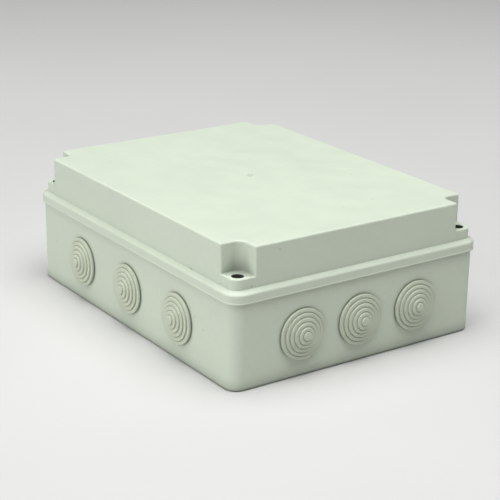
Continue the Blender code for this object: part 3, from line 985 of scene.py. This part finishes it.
def blend(tree, share, first, second):
    """Mix two colours by a value. The first may be another node's output."""
    made = tree.nodes.new("ShaderNodeMix")
    made.data_type = "RGBA"
    tree.links.new(share, made.inputs["Factor"])
    inputs = [socket for socket in made.inputs if socket.type == "RGBA"]
    for socket, colour in zip(inputs, (first, second)):
        if isinstance(colour, bpy.types.NodeSocket):
            tree.links.new(colour, socket)
        else:
            socket.default_value = (*colour, 1.0)
    return next(socket for socket in made.outputs if socket.type == "RGBA")


def edge_share(tree, radius):
    """Give 1 on an object's convex and concave edges and 0 on its flat faces."""
    rounded = add_node(tree, "ShaderNodeBevel", {"samples": 4}, Radius=radius)
    surface = tree.nodes.new("ShaderNodeNewGeometry")
    facing = tree.nodes.new("ShaderNodeVectorMath")
    facing.operation = "DOT_PRODUCT"
    tree.links.new(rounded.outputs["Normal"], facing.inputs[0])
    tree.links.new(surface.outputs["Normal"], facing.inputs[1])
    return spread(tree, facing.outputs["Value"], 1.0, EDGE_COSINE, 0.0, 1.0)


def crevice_share(tree, distance, clear, hidden_fully):
    """Give 1 deep in grooves, corners and the gaps between pieces, and 0 in the open."""
    hidden = add_node(tree, "ShaderNodeAmbientOcclusion", {"samples": 8}, Distance=distance)
    return spread(tree, hidden.outputs["AO"], clear, hidden_fully, 0.0, 1.0)


def bore_shade_share(tree, where):
    """Give the painted shade in the screw bores: none at their mouths, and most deep inside them.

    It counts everything near the screws' axes below the pads. So it also darkens a ring on
    the columns' tops and a round patch on the base's flat back, where there is no bore.
    """
    corner = tree.nodes.new("ShaderNodeVectorMath")
    corner.operation = "ABSOLUTE"
    tree.links.new(where, corner.inputs[0])
    split = add_node(tree, "ShaderNodeSeparateXYZ", Vector=corner.outputs["Vector"])
    level = add_node(tree, "ShaderNodeCombineXYZ", X=split.outputs["X"], Y=split.outputs["Y"])
    reach = tree.nodes.new("ShaderNodeVectorMath")
    reach.operation = "DISTANCE"
    tree.links.new(level.outputs["Vector"], reach.inputs[0])
    reach.inputs[1].default_value = (SCREW_PLACES[0][0], SCREW_PLACES[0][1], 0.0)
    inside = spread(tree, reach.outputs["Value"], HEAD_BORE + BORE_RIM[0],
                    HEAD_BORE + BORE_RIM[1], 0.0, 1.0)
    deep = spread(tree, split.outputs["Z"], PAD_TOP - BORE_DEPTHS[0],
                  PAD_TOP - BORE_DEPTHS[1], 0.0, 0.97)
    return product(tree, inside, deep)


def scaled(colour, factor):
    """Lighten or darken a colour."""
    return tuple(channel * factor for channel in colour)


def start_material(name):
    """Make a material and give it with its node tree, shader and object coordinates."""
    material = bpy.data.materials.new(name)
    material.use_nodes = True
    tree = material.node_tree
    shader = tree.nodes["Principled BSDF"]
    where = tree.nodes.new("ShaderNodeTexCoord").outputs["Object"]
    return material, tree, shader, where


def tinted(tree, share, base, colour, tint):
    """Lay a lighter or darker shade of a colour over a base, by a value."""
    return blend(tree, share, base, scaled(colour, tint))


def clouded(tree, clouds, colour, tints):
    """Let a colour drift slowly between two shades of itself."""
    share = spread(tree, clouds, *NOISE_RANGE, 0.0, 1.0)
    return blend(tree, share, scaled(colour, tints[0]), scaled(colour, tints[1]))


def roughen(tree, shader, rub, lowest, highest):
    """Let a shader's roughness follow a noise."""
    tree.links.new(spread(tree, rub, *NOISE_RANGE, lowest, highest), shader.inputs["Roughness"])


def plastic(name, colour, roughness):
    """Make a moulded plastic: fine mould texture, slow flow marks and specks, with painted
    highlight on its edges and painted shade in its hollows, crevices and screw bores.
    """
    material, tree, shader, where = start_material(name)
    base = clouded(tree, noise(tree, where, CLOUD_SCALE), colour, CLOUD_TINTS)
    mottle = spread(tree, noise(tree, where, MOTTLE_SCALE, 4.0), 0.35, 0.7, 0.0, 0.35)
    base = tinted(tree, mottle, base, colour, MOTTLE_TINT)
    cells = add_node(tree, "ShaderNodeTexVoronoi", Vector=where, Scale=SPECK_SCALE)
    specks = spread(tree, cells.outputs["Distance"], *SPECK_SIZE, 0.0, 0.5)
    base = tinted(tree, specks, base, colour, SPECK_TINT)
    # Painted highlight: the edges are lightened in patches, standing in for their shine
    patches = spread(tree, noise(tree, where, EDGE_HIGHLIGHT_SCALE, 4.0), 0.35, 0.65, 0.2, 0.35)
    edge_wear_and_highlight = product(tree, edge_share(tree, EDGE_HIGHLIGHT_RADIUS), patches)
    base = tinted(tree, edge_wear_and_highlight, base, colour, EDGE_HIGHLIGHT_TINT)
    # Painted shade: hollows such as the corner pockets are darkened
    hollow_shade = crevice_share(tree, HOLLOW_SHADE_DISTANCE, 0.8, 0.45)
    base = tinted(tree, hollow_shade, base, colour, HOLLOW_SHADE_TINT)
    # Painted shade: the screw bores are darkened deep inside
    base = tinted(tree, bore_shade_share(tree, where), base, colour, BORE_SHADE_TINT)
    # Painted shade: crevices and the gaps between pieces are darkened
    painted_crevice_shade = crevice_share(tree, CREVICE_SHADE_DISTANCE, 0.75, 0.35)
    base = tinted(tree, spread(tree, painted_crevice_shade, 0.0, 1.0, 0.0, 0.75), base, colour, CREVICE_SHADE_TINT)
    tree.links.new(base, shader.inputs["Base Color"])
    rub = noise(tree, where, RUB_SCALE, 5.0, 0.6)
    roughen(tree, shader, rub, roughness - 0.05, roughness + 0.07)
    shader.inputs["Specular IOR Level"].default_value = 0.42
    flow = add_node(tree, "ShaderNodeBump", Height=noise(tree, where, FLOW_SCALE, 2.0),
                    Strength=0.25, Distance=FLOW_DEPTH)
    texture = add_node(tree, "ShaderNodeBump", Height=noise(tree, where, GRAIN_SCALE, 2.0),
                       Strength=0.35, Distance=GRAIN_DEPTH, Normal=flow.outputs["Normal"])
    tree.links.new(texture.outputs["Normal"], shader.inputs["Normal"])
    return material


def rubber(name, colour, roughness, pores, depth):
    """Make a rubber or foam: pores in its skin, dusty high spots and painted shade in its
    grooves.
    """
    material, tree, shader, where = start_material(name)
    clouds = noise(tree, where, RUBBER_CLOUD_SCALE, 4.0)
    base = clouded(tree, clouds, colour, RUBBER_CLOUD_TINTS)
    # Painted shade: grooves and gaps are darkened
    painted_crevice_shade = crevice_share(tree, RUBBER_CREVICE_SHADE_DISTANCE, 0.7, 0.25)
    base = tinted(tree, spread(tree, painted_crevice_shade, 0.0, 1.0, 0.0, 0.7), base, colour, RUBBER_CREVICE_SHADE_TINT)
    dust = product(tree, edge_share(tree, DUST_RADIUS), spread(tree, clouds, 0.4, 0.6, 0.1, 0.45))
    base = tinted(tree, dust, base, colour, DUST_TINT)
    tree.links.new(base, shader.inputs["Base Color"])
    rub = noise(tree, where, RUBBER_RUB_SCALE)
    roughen(tree, shader, rub, roughness - 0.06, roughness + 0.08)
    shader.inputs["Specular IOR Level"].default_value = 0.35
    shader.inputs["Sheen Weight"].default_value = 0.08
    shader.inputs["Sheen Roughness"].default_value = 0.6
    skin = add_node(tree, "ShaderNodeTexVoronoi", Vector=where, Scale=pores)
    bump = add_node(tree, "ShaderNodeBump", Height=skin.outputs["Distance"], Strength=0.4,
                    Distance=depth)
    tree.links.new(bump.outputs["Normal"], shader.inputs["Normal"])
    return material


def metal(name, colour, roughness, tarnish):
    """Make a turned metal: tool marks round its axis, tarnish and bright worn edges."""
    material, tree, shader, where = start_material(name)
    shader.inputs["Metallic"].default_value = 1.0
    stain = spread(tree, noise(tree, where, STAIN_SCALE, 4.0), 0.35, 0.7, 0.0, 0.6)
    base = blend(tree, stain, colour, tarnish)
    patches = spread(tree, noise(tree, where, METAL_WEAR_SCALE), 0.3, 0.6, 0.3, 0.9)
    edge_wear_and_highlight = product(tree, edge_share(tree, METAL_WEAR_RADIUS), patches)
    base = tinted(tree, edge_wear_and_highlight, base, colour, METAL_WEAR_TINT)
    tree.links.new(base, shader.inputs["Base Color"])
    rub = noise(tree, where, METAL_RUB_SCALE, 4.0)
    roughen(tree, shader, rub, roughness - 0.08, roughness + 0.12)
    marks = add_node(tree, "ShaderNodeTexWave", {"bands_direction": "Z"}, Vector=where,
                     Scale=TOOL_MARK_SCALE, Distortion=1.5, Detail=2.0)
    bump = add_node(tree, "ShaderNodeBump", Height=marks.outputs[1], Strength=0.2,
                    Distance=TOOL_MARK_DEPTH)
    tree.links.new(bump.outputs["Normal"], shader.inputs["Normal"])
    return material


def floor_material():
    """Make the pale matt floor."""
    material, tree, shader, where = start_material("pale_floor")
    tone = spread(tree, noise(tree, where, FLOOR_SCALE), *NOISE_RANGE, 0.0, 1.0)
    near = blend(tree, tone, *FLOOR_NEAR)
    reach = tree.nodes.new("ShaderNodeVectorMath")
    reach.operation = "LENGTH"
    tree.links.new(where, reach.inputs[0])
    far = spread(tree, reach.outputs["Value"], *FLOOR_BLEND, 0.0, 1.0)
    tree.links.new(blend(tree, far, near, FLOOR_FAR), shader.inputs["Base Color"])
    shader.inputs["Roughness"].default_value = 0.85
    shader.inputs["Specular IOR Level"].default_value = 0.2
    return material


# Stage --------------------------------------------------------------------------------

def make_floor():
    """Lay the pale floor that the box stands on."""
    bm = bmesh.new()
    bmesh.ops.create_grid(bm, x_segments=1, y_segments=1, size=FLOOR_SIZE / 2)
    mesh = keep(bm, "floor")
    mesh.materials.append(floor_material())
    floor = add_object("floor", mesh, Matrix.Translation((0.0, 0.0, CAD_BOUNDS[0].z)))


def outward(azimuth, elevation):
    """Give the direction from the box to an azimuth and an elevation."""
    level = math.cos(elevation)
    return Vector((math.sin(azimuth) * level, -math.cos(azimuth) * level, math.sin(elevation)))


def add_area(name, direction, distance, size, power):
    """Add a square soft white light that faces the box from a direction."""
    data = bpy.data.lights.new(name, "AREA")
    data.size = size
    data.energy = power
    lamp = bpy.data.objects.new(name, data)
    bpy.context.scene.collection.objects.link(lamp)
    back = outward(*(math.radians(angle) for angle in direction))
    lamp.location = CAMERA_AIM + back * distance
    lamp.rotation_mode = "QUATERNION"
    lamp.rotation_quaternion = (-back).to_track_quat("-Z", "Y")


def make_light():
    """Light the box from overhead and from low in front, with a weak fill behind its right."""
    world = bpy.data.worlds.new("studio")
    bpy.context.scene.world = world
    world.use_nodes = True
    background = world.node_tree.nodes["Background"]
    background.inputs["Color"].default_value = (*WORLD_COLOUR, 1.0)
    background.inputs["Strength"].default_value = WORLD_STRENGTH
    for name, direction, distance, size, power in LAMPS:
        add_area(name, direction, distance, size, power)
    bpy.context.scene.view_settings.view_transform = "Standard"


def make_camera():
    """Aim the camera as the photographer did, a little rolled."""
    data = bpy.data.cameras.new("camera")
    data.lens = CAMERA_LENS
    data.sensor_width = SENSOR
    camera = bpy.data.objects.new("camera", data)
    bpy.context.scene.collection.objects.link(camera)
    back = outward(CAMERA_AZIMUTH, CAMERA_ELEVATION)
    roll = Matrix.Rotation(CAMERA_ROLL, 3, "Z").to_quaternion()
    facing = (-back).to_track_quat("-Z", "Y") @ roll
    right = facing @ Vector((1.0, 0.0, 0.0))
    up = facing @ Vector((0.0, 1.0, 0.0))
    camera.rotation_mode = "QUATERNION"
    camera.rotation_quaternion = facing
    camera.location = (CAMERA_AIM + back * CAMERA_DISTANCE + right * CAMERA_OFFSET[0]
                       + up * CAMERA_OFFSET[1])
    bpy.context.scene.camera = camera


# the orders go by the pieces' numbers, and the places by CORNERS
SCREW_ORDER = [middle(name) for name in numbered("lid_screw_")]
FIXING_ORDER = [middle(name) for name in numbered("fixing_cap_")]
SCREW_PLACES = [(sx * abs(SCREW_ORDER[0].x), sy * abs(SCREW_ORDER[0].y)) for sx, sy in CORNERS]
FIXING_PLACES = [(sx * abs(FIXING_ORDER[0].x), sy * abs(FIXING_ORDER[0].y)) for sx, sy in CORNERS]
STANDOFF_PLACES = [(sx * STANDOFF_PLACE[0], sy * STANDOFF_PLACE[1]) for sx, sy in CORNERS]

MATERIALS = {
    "box_grey": plastic("box_grey", BOX_GREY, 0.42),
    "cap_grey": plastic("cap_grey", CAP_GREY, 0.48),
    "grommet_grey": rubber("grommet_grey", GROMMET_GREY, 0.58, 1600.0, 0.02 * MM),
    "gasket_dark": rubber("gasket_dark", GASKET_DARK, 0.80, 2200.0, 0.08 * MM),
    "screw_steel": metal("screw_steel", STEEL, 0.36, STEEL_TARNISH),
    "insert_brass": metal("insert_brass", BRASS, 0.35, BRASS_TARNISH),
}

make_lid()
make_base()
make_gasket()
make_grommets()
make_screws()
make_rings()
make_inserts()
make_caps()
make_floor()
make_light()
make_camera()
